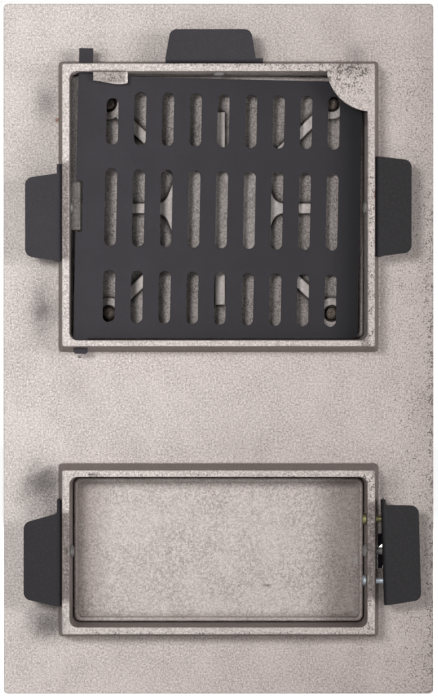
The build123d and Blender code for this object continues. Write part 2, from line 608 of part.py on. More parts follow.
def latch_lever(latch_z):
    """Cast bar with a round pivot eye and a smaller eye for the knob."""
    outline = Circle(PIVOT_EYE_R) + Pos(-BAR_LONG, 0) * Circle(KNOB_EYE_R)
    outline += Pos(-BAR_LONG / 2, 0) * Rectangle(BAR_LONG, 2 * BAR_HALF)
    bar = slab(outline, BAR_REAR - BAR_THICK, BAR_REAR)
    edges = bar.faces().sort_by(Axis.Y)[0].edges()
    bar = fillet(edges, 0.8)
    bar -= rod_y(PIN_R + PIN_FIT, 0, 0, BAR_REAR - BAR_THICK, BAR_REAR)
    bar -= rod_y(KNOB_PIN_R, -BAR_LONG, 0, BAR_REAR - BAR_THICK, BAR_REAR)
    return latch_frame(latch_z) * bar


def latch_knob(latch_z):
    """Turned knob on a stem that is riveted into the lever."""
    front = BAR_REAR - BAR_THICK
    neck = Spline(*KNOB_PROFILE, tangents=((0, 1), (-1, 0)))
    foot = Polyline(KNOB_PROFILE[-1], (0, -BAR_THICK), (KNOB_PIN_R, -BAR_THICK), (KNOB_PIN_R, 0),
                    (KNOB_FOOT[0], 0), KNOB_FOOT, KNOB_PROFILE[0])
    face = make_face(Plane.XZ * (neck + foot))
    knob = revolve(face, Axis.Z)
    place = Plane(origin=(-BAR_LONG, front, 0), z_dir=(0, -1, 0))
    return latch_frame(latch_z) * (place * knob)


def latch_screw(latch_z):
    """Shoulder screw with a slotted head on which the lever turns."""
    seat = BAR_REAR - BAR_THICK - 0.2
    depth = seat - LATCH_SCREW_END
    points = [(0, depth), (PIN_R, depth), (PIN_R, 0), *LATCH_HEAD]
    body = turned(points, (LATCH_PIVOT_X, seat, latch_z), (0, -1, 0))
    groove = box((-7.0, 7.0), (seat - 3.0, seat - 1.5), (-0.7, 0.7))
    return body - Pos(LATCH_PIVOT_X, 0, latch_z) * Rot(0, 28, 0) * groove


def fastened_lugs(frame):
    """The five anchors with their rivets, and the loose one's two screws and nuts."""
    lugs = {
        "anchor_hinge_upper": anchor_hinge_upper(),
        "anchor_hinge_lower": anchor_hinge_lower(),
        "anchor_latch_upper": anchor_latch_upper(),
        "anchor_latch_lower": anchor_latch_lower(),
        "anchor_top": anchor_top(),
    }
    fasteners = {"rivet_top": top_rivet()}
    lugs["anchor_top"] -= top_pin(RIVET_R, UPPER_INNER[1], UPPER_OUTER[1] + 10)
    for name, (z, side) in RIVETS.items():
        away = LOOSE_SHIFT if name == "rivet_latch_lower" else 0.0
        fasteners[name] = side_rivet(z, side, away)
        lugs[name.replace("rivet", "anchor")] -= side_pin(RIVET_R, z, side)
    for name in fasteners:
        fasteners[name] -= frame
        fasteners[name] -= lugs[name.replace("rivet", "anchor")]
    loose_lug = lugs["anchor_latch_lower"]
    for number, z in enumerate(LOOSE_SCREW_Z, 1):
        loose_lug -= side_pin(M4_R, z, -1)
        fasteners[f"loose_screw_{number}"] = loose_screw(z) - frame
        fasteners[f"loose_nut_{number}"] = loose_nut(z, loose_lug)
    lugs["anchor_latch_lower"] = loose_lug
    return {**lugs, **fasteners}


def all_nodes():
    frame = frame_casting()
    nodes = {"frame": frame, **fastened_lugs(frame)}
    for label, levels in (("fire", FIRE_HINGE_Z), ("ash", ASH_HINGE_Z)):
        nodes[f"{label}_hinge_pin_lower"] = hinge_pin(levels[0])
        nodes[f"{label}_hinge_pin_upper"] = hinge_pin(levels[1])
    nodes["fire_door"] = fire_door()
    nodes["fire_door_liner"] = fire_door_liner()
    for number, spot in enumerate(liner_screw_spots(), 1):
        nodes[f"liner_screw_{number}"] = liner_screw(*spot)
    nodes["ash_door"] = ash_door()
    nodes["ember_guard"] = ember_guard()
    for label, latch_z in (("fire", FIRE_LATCH_Z), ("ash", ASH_LATCH_Z)):
        nodes[f"{label}_latch_lever"] = latch_lever(latch_z)
        nodes[f"{label}_latch_knob"] = latch_knob(latch_z)
        nodes[f"{label}_latch_screw"] = latch_screw(latch_z)
    return nodes


def main():
    os.makedirs("parts", exist_ok=True)
    for name, shape in all_nodes().items():
        export_step(shape, f"parts/{name}.step")


main()
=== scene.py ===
import math

import bmesh
import bpy
from bpy.props import FloatProperty, FloatVectorProperty, PointerProperty
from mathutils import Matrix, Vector


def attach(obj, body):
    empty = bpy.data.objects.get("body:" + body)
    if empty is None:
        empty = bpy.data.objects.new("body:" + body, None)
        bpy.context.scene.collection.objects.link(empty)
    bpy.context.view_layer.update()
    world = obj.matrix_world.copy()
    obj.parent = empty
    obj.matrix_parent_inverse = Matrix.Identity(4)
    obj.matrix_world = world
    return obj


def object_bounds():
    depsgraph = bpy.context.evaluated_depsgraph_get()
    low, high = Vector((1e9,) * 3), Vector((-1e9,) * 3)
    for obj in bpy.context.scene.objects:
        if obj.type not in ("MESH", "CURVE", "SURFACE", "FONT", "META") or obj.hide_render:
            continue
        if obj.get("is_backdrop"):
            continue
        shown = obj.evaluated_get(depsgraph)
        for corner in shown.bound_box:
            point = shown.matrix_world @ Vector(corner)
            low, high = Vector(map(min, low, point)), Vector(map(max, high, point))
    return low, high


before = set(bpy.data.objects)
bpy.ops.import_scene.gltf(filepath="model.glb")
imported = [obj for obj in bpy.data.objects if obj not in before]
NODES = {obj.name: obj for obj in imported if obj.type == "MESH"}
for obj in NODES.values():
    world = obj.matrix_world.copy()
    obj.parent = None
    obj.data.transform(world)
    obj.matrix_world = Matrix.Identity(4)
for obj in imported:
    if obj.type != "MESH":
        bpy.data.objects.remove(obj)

bl_info = {
    "name": "Stove Door",
    "version": (1, 0, 0),
    "blender": (4, 5, 0),
    "location": "3D View > Sidebar > Stove Door",
    "description": "Dresses a cast-iron double stove door, seen from the masonry side",
    "category": "Object",
}

PHOTO_WIDTH_M = 0.30472
SENSOR_MM = 36.0
FLOOR_GAP = 0.0005
FLOOR_GLOW = 0.80
FILL = 0.08
WHITE = (1.0, 1.0, 1.0, 1.0)
LIGHT_AIM = (0.0, 0.0, 0.04)

# Name, place, width and height in metres, and the size property that holds the power
SOFTBOXES = [
    ("Softbox left", (0.60, 2.42, 0.42), (0.50, 0.36), "key_power"),
    ("Softbox right", (-1.20, 1.64, 0.20), (1.00, 0.40), "side_power"),
    ("Room softbox left", (0.95, -1.90, 0.50), (0.90, 0.90), "room_power"),
    ("Room softbox right", (-1.05, -1.70, 0.40), (0.90, 0.90), "room_power"),
]


# Sizes and colours that a user would change

def size(name, text, default, low=0.0, high=10.0, unit="LENGTH"):
    return FloatProperty(name=name, description=text, default=default, min=low, max=high,
                         unit=unit, precision=4)


def colour(name, text, rgb):
    return FloatVectorProperty(name=name, description=text, default=(*rgb, 1.0), size=4,
                               min=0.0, max=1.0, subtype="COLOR")


class DoorSizes(bpy.types.PropertyGroup):
    camera_distance: size("Camera distance", "From the lens to the back of the plate", 2.37)
    camera_x: size("Camera X", "Sideways place of the camera", -0.00035, -1.0)
    camera_z: size("Camera Z", "Height of the camera above the frame's middle", 0.0401, -1.0)
    grain: size("Casting grain", "Width of one grain of the sand-cast skin", 0.0009)
    edge_width: size("Edge wear", "How far wear reaches in from an edge", 0.0009)
    floor_half: size("Floor", "Half the width of the floor", 6.0, 1.0, 50.0)
    key_power: size("Left softbox", "Softbox on the photograph's left", 32.4, 0.0, 1000.0,
                    "POWER")
    side_power: size("Right softbox", "Softbox on the photograph's right", 14.4, 0.0, 1000.0,
                     "POWER")
    room_power: size("Room softboxes", "The two softboxes on the room side", 21.0, 0.0, 1000.0,
                     "POWER")


class DoorColours(bpy.types.PropertyGroup):
    iron_light: colour("Bare iron, light", "High grains of the bare casting", (0.85, 0.775, 0.74))
    iron_dark: colour("Bare iron, dark", "Hollows of the bare casting", (0.36, 0.31, 0.29))
    # Also painted shade: sideways-facing walls of the frame take this brown
    iron_brown_and_wall_shade: colour("Bare iron, brown", "Walls that stayed rough and brown", (0.165, 0.13, 0.12))
    # Also painted shade: castings darken towards this tint where the light falls off
    iron_dull_and_shade: colour("Dull iron", "Tint of casting that was rubbed less", (0.55, 0.52, 0.51))
    pit: colour("Pits", "Sand pits and dirt in the casting", (0.055, 0.045, 0.042))
    paint: colour("Graphite paint", "Matt stove paint", (0.036, 0.0315, 0.039))
    paint_worn: colour("Worn paint", "Paint rubbed thin on the edges", (0.13, 0.115, 0.115))
    rust: colour("Rust", "Thin rust", (0.22, 0.085, 0.035))
    steel: colour("Steel", "Turned and bright steel", (0.45, 0.44, 0.43))
    yellow_zinc: colour("Yellow zinc", "Yellow-passivated screw", (0.27, 0.255, 0.12))
    blue_zinc: colour("Bright zinc", "Clear-passivated screw", (0.47, 0.53, 0.58))
    screw_black: colour("Black oxide", "Blackened screws", (0.095, 0.074, 0.062))
    # Painted shade: the guard darkens to this towards -X and beside the -X collar wall
    guard_shade: colour("Soot", "Darkest film on the guard", (0.010, 0.009, 0.011))
    floor: colour("Floor", "Plain pale floor", (0.80, 0.80, 0.80))


def sizes():
    return bpy.context.scene.stove_door_sizes


def colours():
    return bpy.context.scene.stove_door_colours


# Shader building

class Tree:
    """A node tree with short calls for the nodes used here."""

    def __init__(self, tree):
        self.tree = tree

    def feed(self, socket, value):
        if isinstance(value, bpy.types.NodeSocket):
            self.tree.links.new(value, socket)
        elif value is not None:
            socket.default_value = value

    def add(self, kind, inputs=None, **settings):
        made = self.tree.nodes.new(kind)
        for name, value in settings.items():
            setattr(made, name, value)
        for name, value in (inputs or {}).items():
            self.feed(made.inputs[name], value)
        return made

    def math(self, operation, a, b=None, clamp=False):
        made = self.add("ShaderNodeMath", {0: a}, operation=operation, use_clamp=clamp)
        if b is not None:
            self.feed(made.inputs[1], b)
        return made.outputs[0]

    def ramp(self, value, low, high, to_low=0.0, to_high=1.0):
        """Smooth step of value between low and high."""
        made = self.add("ShaderNodeMapRange",
                        {"Value": value, "From Min": low, "From Max": high,
                         "To Min": to_low, "To Max": to_high},
                        interpolation_type="SMOOTHSTEP")
        return made.outputs["Result"]

    def mix(self, factor, a, b, blend="MIX"):
        made = self.add("ShaderNodeMix", data_type="RGBA", blend_type=blend)
        self.feed(made.inputs[0], factor)
        self.feed(made.inputs[6], a)
        self.feed(made.inputs[7], b)
        return made.outputs[2]

    def noise(self, place, scale, detail=3.0, rough=0.55, distortion=0.0):
        made = self.add("ShaderNodeTexNoise",
                        {"Vector": place, "Scale": scale, "Detail": detail,
                         "Roughness": rough, "Distortion": distortion})
        return made.outputs[0]

    def cells(self, place, scale):
        made = self.add("ShaderNodeTexVoronoi", {"Vector": place, "Scale": scale})
        return made.outputs["Distance"]

    def place(self):
        return self.add("ShaderNodeTexCoord").outputs["Object"]

    def split(self, vector):
        made = self.add("ShaderNodeSeparateXYZ", {0: vector})
        return made.outputs

    def vector(self, x, y, z):
        return self.add("ShaderNodeCombineXYZ", {0: x, 1: y, 2: z}).outputs[0]

    def vmath(self, operation, a, b, out=0):
        made = self.add("ShaderNodeVectorMath", {0: a}, operation=operation)
        self.feed(made.inputs[1], b)
        return made.outputs[out]

    def group(self, tree, inputs):
        made = self.add("ShaderNodeGroup", node_tree=tree)
        for name, value in inputs.items():
            self.feed(made.inputs[name], value)
        return made.outputs


def new_group(name, inputs, outputs):
    """An empty shader group: (group, tree, input sockets, function that feeds an output)."""
    group = bpy.data.node_groups.new(name, "ShaderNodeTree")
    for label, kind, default in inputs:
        made = group.interface.new_socket(label, in_out="INPUT", socket_type=kind)
        if default is not None:
            made.default_value = default
    for label, kind in outputs:
        group.interface.new_socket(label, in_out="OUTPUT", socket_type=kind)
    tree = Tree(group)
    source = group.nodes.new("NodeGroupInput")
    target = group.nodes.new("NodeGroupOutput")

    def out(label, value):
        group.links.new(value, target.inputs[label])
    return group, tree, source.outputs, out


FLOAT, VECTOR = "NodeSocketFloat", "NodeSocketVector"


def group_cast_grain():
    """Sand-cast skin: fine grains, wider swells and scattered sand pits."""
    group, t, given, out = new_group(
        "Cast grain",
        [("Place", VECTOR, None), ("Grain", FLOAT, 0.0009), ("Pits", FLOAT, 0.3)],
        [("Height", FLOAT), ("Speckle", FLOAT), ("Mottle", FLOAT), ("Pit", FLOAT)])
    pitch = t.math("DIVIDE", 1.0, given["Grain"])
    fine = t.noise(given["Place"], pitch, 4.0, 0.7)
    wide = t.noise(given["Place"], t.math("MULTIPLY", pitch, 0.035), 4.0, 0.6)
    mid = t.noise(given["Place"], t.math("MULTIPLY", pitch, 0.22), 3.0, 0.6)
    cell = t.cells(given["Place"], t.math("MULTIPLY", pitch, 0.32))
    reach = t.math("MULTIPLY", t.math("MULTIPLY", given["Pits"], mid), 0.62)
    pit = t.math("SUBTRACT", 1.0, t.ramp(cell, t.math("MULTIPLY", reach, 0.35), reach), clamp=True)
    rise = t.math("ADD", t.math("MULTIPLY", fine, 0.55), t.math("MULTIPLY", mid, 0.45))
    out("Height", t.math("SUBTRACT", rise, t.math("MULTIPLY", pit, 0.55)))
    knots = t.noise(given["Place"], t.math("MULTIPLY", pitch, 0.62), 2.0, 0.6)
    both = t.math("ADD", t.math("MULTIPLY", fine, 0.62), t.math("MULTIPLY", knots, 0.38))
    out("Speckle", t.ramp(both, 0.36, 0.64))
    out("Mottle", t.ramp(wide, 0.34, 0.68))
    out("Pit", pit)
    return group


def group_edge_wear():
    """Where an edge is near: 1 on the edge, broken up by noise."""
    group, t, given, out = new_group(
        "Edge wear",
        [("Place", VECTOR, None), ("Width", FLOAT, 0.001), ("Break up", FLOAT, 0.5)],
        [("Mask", FLOAT)])
    rounded = t.add("ShaderNodeBevel", {"Radius": given["Width"]}, samples=6)
    flat = t.add("ShaderNodeNewGeometry").outputs["True Normal"]
    turn = t.vmath("DOT_PRODUCT", rounded.outputs[0], flat, out=1)
    near = t.ramp(turn, 0.995, 0.80)
    patchy = t.noise(given["Place"], 260.0, 4.0, 0.65)
    keep = t.ramp(t.math("ADD", patchy, t.math("MULTIPLY", given["Break up"], -0.5)), 0.12, 0.42)
    out("Mask", t.math("MULTIPLY", near, keep, clamp=True))
    return group


def group_soft_spot():
    """A soft oval patch round one place, with a sprayed, grainy border."""
    group, t, given, out = new_group(
        "Soft spot",
        [("Place", VECTOR, None), ("Centre", VECTOR, None), ("Reach", VECTOR, (0.01, 1.0, 0.01)),
         ("Grain", FLOAT, 1.8)],
        [("Mask", FLOAT)])
    offset = t.vmath("SUBTRACT", given["Place"], given["Centre"])
    unit = t.vmath("DIVIDE", offset, given["Reach"])
    far = t.add("ShaderNodeVectorMath", {0: unit}, operation="LENGTH").outputs["Value"]
    swell = t.noise(given["Place"], 70.0, 4.0, 0.65)
    spray = t.noise(given["Place"], 720.0, 3.0, 0.75)
    rough = t.math("MULTIPLY", t.math("SUBTRACT", spray, 0.5), given["Grain"])
    far = t.math("ADD", far, t.math("MULTIPLY", t.math("SUBTRACT", swell, 0.5), 1.4))
    far = t.math("ADD", far, rough)
    out("Mask", t.ramp(far, 1.35, -0.1))
    return group


def group_rust():
    """Thin rust in small spots and blooms."""
    group, t, given, out = new_group(
        "Rust bloom",
        [("Place", VECTOR, None), ("Amount", FLOAT, 0.3)],
        [("Mask", FLOAT)])
    bloom = t.noise(given["Place"], 55.0, 5.0, 0.65, 0.4)
    spots = t.noise(given["Place"], 420.0, 4.0, 0.7)
    both = t.math("ADD", t.math("MULTIPLY", bloom, 0.6), t.math("MULTIPLY", spots, 0.4))
    level = t.math("SUBTRACT", 0.78, t.math("MULTIPLY", given["Amount"], 0.34))
    out("Mask", t.ramp(both, level, t.math("ADD", level, 0.09)))
    return group


def group_crevice_shade():
    """Painted shade where walls meet, from ambient occlusion: 1 in a corner, 0 in the open."""
    group, t, given, out = new_group(
        "Crevice dirt",
        [("Place", VECTOR, None), ("Reach", FLOAT, 0.004), ("Low", FLOAT, 0.95),
         ("High", FLOAT, 0.45)],
        [("Mask", FLOAT)])
    seen = t.add("ShaderNodeAmbientOcclusion", {"Distance": given["Reach"]}, samples=6,
                 only_local=True)
    patchy = t.noise(given["Place"], 420.0, 3.0, 0.6)
    open_sky = t.math("ADD", seen.outputs["AO"],
                      t.math("MULTIPLY", t.math("SUBTRACT", patchy, 0.5), 0.25))
    out("Mask", t.ramp(open_sky, given["Low"], given["High"]))
    return group


GROUPS = {}


def build_groups():
    GROUPS["grain"] = group_cast_grain()
    GROUPS["edge"] = group_edge_wear()
    GROUPS["spot"] = group_soft_spot()
    GROUPS["rust"] = group_rust()
    GROUPS["crevice"] = group_crevice_shade()


def new_material(name):
    """(material, tree, Principled node), with nothing else in it."""
    made = bpy.data.materials.new(name)
    made.use_nodes = True
    made.node_tree.nodes.clear()
    tree = Tree(made.node_tree)
    shader = tree.add("ShaderNodeBsdfPrincipled")
    end = tree.add("ShaderNodeOutputMaterial")
    made.node_tree.links.new(shader.outputs[0], end.inputs[0])
    return made, tree, shader


def bump(t, shader, height, strength, distance, rounding):
    """Fine relief on faces whose edges look rounded by some width."""
    soft = t.add("ShaderNodeBevel", {"Radius": rounding}, samples=4)
    made = t.add("ShaderNodeBump", {"Strength": strength, "Distance": distance,
                                    "Height": height, "Normal": soft.outputs[0]})
    t.feed(shader.inputs["Normal"], made.outputs[0])


def sum_of(t, values):
    total = values[0]
    for value in values[1:]:
        total = t.math("ADD", total, value, clamp=True)
    return total


def backdrop_rays(t):
    """1 for rays that see the backdrop itself, 0 for rays that light the object."""
    seen = t.add("ShaderNodeLightPath").outputs
    return sum_of(t, [seen["Is Camera Ray"], seen["Is Glossy Ray"],
                      seen["Is Transmission Ray"]])


def spots(t, place, rows):
    """Sum of soft spots, each row (x, z, reach x, reach z, strength) in millimetres."""
    masks = []
    for x, z, reach_x, reach_z, strength in rows:
        centre = (x / 1000, 0.0, z / 1000)
        reach = (reach_x / 1000, 0.5, reach_z / 1000)
        found = t.group(GROUPS["spot"], {"Place": place, "Centre": centre, "Reach": reach})
        masks.append(t.math("MULTIPLY", found["Mask"], strength))
    return sum_of(t, masks)


def boxes(t, place, rows, wander=0.003):
    """Sum of soft-edged boxes, each row (x0, x1, z0, z1, soft edge, strength) in millimetres."""
    x, _, z = t.split(place)
    drift = t.math("MULTIPLY", t.math("SUBTRACT", t.noise(place, 190.0, 3.0, 0.7), 0.5), wander)
    x, z = t.math("ADD", x, drift), t.math("ADD", z, drift)
    masks = []
    for x0, x1, z0, z1, soft, strength in rows:
        sides = [t.ramp(x, (x0 - soft) / 1000, (x0 + soft) / 1000),
                 t.ramp(x, (x1 + soft) / 1000, (x1 - soft) / 1000),
                 t.ramp(z, (z0 - soft) / 1000, (z0 + soft) / 1000),
                 t.ramp(z, (z1 + soft) / 1000, (z1 - soft) / 1000)]
        both = t.math("MULTIPLY", sides[0], sides[1])
        both = t.math("MULTIPLY", both, t.math("MULTIPLY", sides[2], sides[3]))
        masks.append(t.math("MULTIPLY", both, strength))
    return sum_of(t, masks)


def dark_grit(t, place, rows):
    """Coarse dark pits, as dense as the boxes are strong."""
    cell = t.cells(place, 700.0)
    clump = t.noise(place, 240.0, 4.0, 0.7)
    reach = t.math("MULTIPLY", boxes(t, place, rows), t.ramp(clump, 0.32, 0.66, 0.0, 0.85))
    reach = t.math("ADD", reach, 0.001)
    found = t.ramp(cell, t.math("MULTIPLY", reach, 0.55), reach)
    return t.math("SUBTRACT", 1.0, found, clamp=True)


def shaded(rgb, shade):
    return tuple(v * shade for v in rgb[:3]) + (1.0,)


# Paint that drifted round the plate's edge and past the lugs, as it lies on the bare back
OVERSPRAY = [
    (119.0, 213.0, 10.0, 15.0, 0.42),
    (103.0, 242.0, 9.0, 8.0, 0.30),
    (89.0, 244.0, 7.0, 8.0, 0.35),
    (122.0, 68.0, 11.0, 18.0, 0.64),
    (122.0, -54.0, 17.0, 20.0, 0.72),
    (114.0, -80.0, 8.0, 14.0, 0.45),
    (118.0, -149.0, 17.0, 14.0, 0.74),
    (-96.0, 246.0, 9.0, 8.0, 0.30),
    (-16.0, 245.0, 14.0, 9.0, 0.35),
    (-121.0, -52.0, 10.0, 14.0, 0.25),
    (79.0, 246.0, 6.0, 6.0, 0.25),
]

# Rims beside the lugs, which stayed brown
BROWN_RIMS = [
    (102.0, 113.0, 102.0, 169.0, 2.5, 0.9),
    (101.0, 113.0, -133.0, -71.0, 2.5, 1.0),
    (64.0, 88.0, 224.0, 232.6, 0.6, 0.75),
    (-106.0, -78.0, 229.0, 240.0, 4.0, 0.35),
    (-112.0, -99.5, -131.0, -64.0, 2.5, 1.0),
    (-103.2, -98.0, 40.0, 200.0, 0.7, 0.6),
]

# Places where the casting is coarse and dark-grained
GRITTY = [
    (-152.0, 152.0, -205.0, 245.0, 1.0, 0.30),
    (-102.0, -48.0, 226.5, 239.0, 5.0, 0.55),
    (-110.0, -98.0, 38.0, 160.0, 2.0, 0.45),
    (-104.0, -74.0, 214.0, 234.0, 7.0, 0.48),
    (-112.0, -99.5, -131.0, -64.0, 2.0, 0.75),
    (66.0, 86.0, 225.0, 232.0, 1.0, 0.45),
    (-48.0, 38.0, 234.0, 239.0, 1.5, 0.45),
    (-112.0, 85.0, -158.0, -153.5, 1.0, 0.40),
    (-112.0, 100.0, -49.0, -44.5, 1.0, 0.35),
    (-110.0, -99.0, -160.0, -42.0, 1.5, 0.50),
    (-152.0, -146.0, -205.0, 150.0, 5.0, 0.62),
    (-152.0, -60.0, -203.0, -198.0, 2.5, 0.50),
    (-152.0, -122.0, -205.0, 245.0, 18.0, 0.26),
]

# Walls inside the upper collar that show pale, gritty iron instead of the brown and painted shade
# of the walls
PALE_WALLS = [
    (-80.0, 100.0, 222.0, 237.0, 0.6, 0.95),
    (-106.0, -97.0, 45.0, 195.0, 0.8, 0.6),
    (96.0, 101.5, 45.0, 228.0, 0.8, 0.6),
]

# Painted shade at the ends and along the bottom of the ash pan, where the collar walls shadow it
PAN_END_SHADE = [
    (84.0, 110.0, -152.0, -44.0, 13.0, 0.95),
    (-110.0, -72.0, -152.0, -44.0, 10.0, 0.75),
    (-110.0, 110.0, -152.0, -144.0, 4.0, 0.3),
]

# Chips and drips, seen one by one
MARKS = [
    (96.7, 35.3, 1.7, 1.2, 0.9),
    (104.0, -97.7, 2.0, 2.6, 0.9),
    (85.2, -45.5, 4.0, 1.6, 0.7),
]
RUST_DOTS = [
    (112.4, 200.2, 1.7, 2.2, 1.0),
    (-107.0, 146.0, 1.3, 3.0, 0.5),
]
PAN_MARKS = [
    (-33.6, -124.0, 3.4, 1.2, 0.6),
]

# Y in metres at which the room side's paint starts and is full, on the frame and on the doors
FRAME_PAINT = (-0.0045, -0.0058)
DOOR_PAINT = (-0.0095, -0.0112)
CAST_GLOSS = 0.3

# The liner's raised work, as material_casting takes it
LINER_RAISED = (0.0012, 0.0019, -0.0012, 0.1385)

# Behind this Y the latch screws sit in the doors and look like dull iron
SCREW_SUNK = -0.012


def finish_casting(t, shader, base, grain, edge, front, gloss, rounding):
    """Paints a casting where front is 1, and sets its shine and the relief of its grain."""
    c = colours()
    paint = t.mix(t.math("MULTIPLY", edge, 0.5), tuple(c.paint), tuple(c.paint_worn))
    base = t.mix(front, base, paint)
    t.feed(shader.inputs["Base Color"], base)
    t.feed(shader.inputs["Metallic"], t.math("MULTIPLY", t.math("SUBTRACT", 1.0, front), 0.06))
    t.feed(shader.inputs["Roughness"], t.ramp(grain["Speckle"], 0.0, 1.0, 0.66, 0.50))
    shader.inputs["Specular IOR Level"].default_value = gloss
    bump(t, shader, grain["Height"], 0.6, 0.0005, rounding)


def material_frame():
    """Bare casting behind, graphite paint on the room side; brown walls that are partly painted
    shade, and painted shade darkening the back towards -X and the bottom.
    """
    c, s = colours(), sizes()
    made, t, shader = new_material("Frame casting")
    place = t.place()
    x, y, z = t.split(place)
    facing = t.split(t.add("ShaderNodeTexCoord").outputs["Normal"])
    grain = t.group(GROUPS["grain"], {"Place": place, "Grain": s.grain, "Pits": 0.3})
    edge = t.group(GROUPS["edge"], {"Place": place, "Width": s.edge_width})["Mask"]
    base = t.mix(grain["Speckle"], tuple(c.iron_dark), tuple(c.iron_light))
    base = t.mix(t.math("MULTIPLY", grain["Mottle"], 0.25), base, tuple(c.iron_light))
    # Painted shade: darker towards -X and towards the bottom, where the light falls off; darker
    # again near the -X edge
    base = t.mix(t.ramp(x, 0.17, -0.17, 0.0, 0.62), base, tuple(c.iron_dull_and_shade), "MULTIPLY")
    base = t.mix(t.ramp(z, -0.06, -0.24, 0.0, 0.25), base, tuple(c.iron_dull_and_shade), "MULTIPLY")
    base = t.mix(t.ramp(x, -0.122, -0.150, 0.0, 0.30), base, tuple(c.iron_dull_and_shade), "MULTIPLY")
    cloud = t.noise(place, 16.0, 4.0, 0.6)
    base = t.mix(t.ramp(cloud, 0.48, 0.72, 0.0, 0.22), base, tuple(c.iron_dull_and_shade), "MULTIPLY")
    # Painted shade, partly real brown skin: walls that face sideways turn brown and dark, except
    # the PALE_WALLS rows
    wall = t.ramp(facing[1], 0.80, 0.45)
    pale = t.math("MULTIPLY", boxes(t, place, PALE_WALLS, 0.0), t.ramp(y, 0.0318, 0.0310))
    wall = t.math("MULTIPLY", wall, t.math("SUBTRACT", 1.0, pale))
    base = t.mix(t.math("MULTIPLY", wall, 0.85), base, tuple(c.iron_brown_and_wall_shade))
    base = t.mix(t.math("MULTIPLY", grain["Pit"], 0.75), base, tuple(c.pit))
    outward = t.ramp(facing[1], 0.2, 0.6)
    smudge = t.math("MULTIPLY", spots(t, place, OVERSPRAY), outward)
    base = t.mix(smudge, base, tuple(c.paint))
    brown = t.math("MULTIPLY", boxes(t, place, BROWN_RIMS, 0.002), t.ramp(y, 0.024, 0.028))
    brown = t.math("MULTIPLY", brown, t.ramp(grain["Speckle"], 0.2, 1.0, 1.0, 0.72))
    base = t.mix(brown, base, shaded(c.iron_brown_and_wall_shade, 0.8))
    base = t.mix(t.math("MULTIPLY", dark_grit(t, place, GRITTY), 0.8), base, tuple(c.pit))
    base = t.mix(spots(t, place, MARKS), base, tuple(c.pit))
    base = t.mix(spots(t, place, RUST_DOTS), base, tuple(c.rust))
    base = t.mix(t.math("MULTIPLY", edge, 0.30), base, tuple(c.iron_light))
    finish_casting(t, shader, base, grain, edge, t.ramp(y, *FRAME_PAINT), CAST_GLOSS, 0.0005)
    return made


def material_casting(name, tone, pits, contrast, shade_rows, dirt, raised=None,
                     gloss=CAST_GLOSS, marks=()):
    """Bare casting of a door or of the liner, with its room side painted.

    raised holds the heights on Y between which raised work turns paler, and the
    X and Z of a hub that pales less.
    """
    c, s = colours(), sizes()
    made, t, shader = new_material(name)
    place = t.place()
    x, y, z = t.split(place)
    grain = t.group(GROUPS["grain"], {"Place": place, "Grain": s.grain, "Pits": pits})
    edge = t.group(GROUPS["edge"], {"Place": place, "Width": s.edge_width})["Mask"]
    rust = t.group(GROUPS["rust"], {"Place": place, "Amount": 0.25})["Mask"]
    corner = t.group(GROUPS["crevice"], {"Place": place, "Reach": 0.0042, "Low": 0.97,
                                         "High": 0.68})["Mask"]
    light = shaded(c.iron_light, tone)
    dark = shaded(c.iron_dark, tone * (1.0 - contrast))
    base = t.mix(grain["Speckle"], dark, light)
    base = t.mix(t.math("MULTIPLY", grain["Mottle"], 0.3), base, light)
    # Painted shade: darker towards -X, where the light falls off
    base = t.mix(t.ramp(x, 0.17, -0.17, 0.0, 0.45), base, tuple(c.iron_dull_and_shade), "MULTIPLY")
    if raised:
        # Raised work turns paler with its height; the hub pales less
        rubbed = t.ramp(y, raised[0], raised[1], 0.0, 0.55)
        out = t.vmath("DISTANCE", t.vector(x, 0.0, z), (raised[2], 0.0, raised[3]), out=1)
        base = t.mix(t.math("MULTIPLY", rubbed, t.ramp(out, 0.029, 0.037, 0.25, 1.0)), base,
                     tuple(c.iron_light))
    if shade_rows:
        base = t.mix(boxes(t, place, shade_rows), base, tuple(c.iron_dull_and_shade), "MULTIPLY")
    base = t.mix(t.math("MULTIPLY", grain["Pit"], 0.7), base, tuple(c.pit))
    base = t.mix(t.math("MULTIPLY", rust, 0.25), base, tuple(c.rust))
    # Painted shade: corners and the feet of ribs darkened by ambient occlusion, scaled by dirt
    base = t.mix(t.math("MULTIPLY", corner, dirt), base, shaded(c.pit, 0.5))
    if marks:
        base = t.mix(spots(t, place, marks), base, tuple(c.pit))
    base = t.mix(t.math("MULTIPLY", edge, 0.35), base, light)
    finish_casting(t, shader, base, grain, edge, t.ramp(y, *DOOR_PAINT), gloss, 0.0006)
    return made


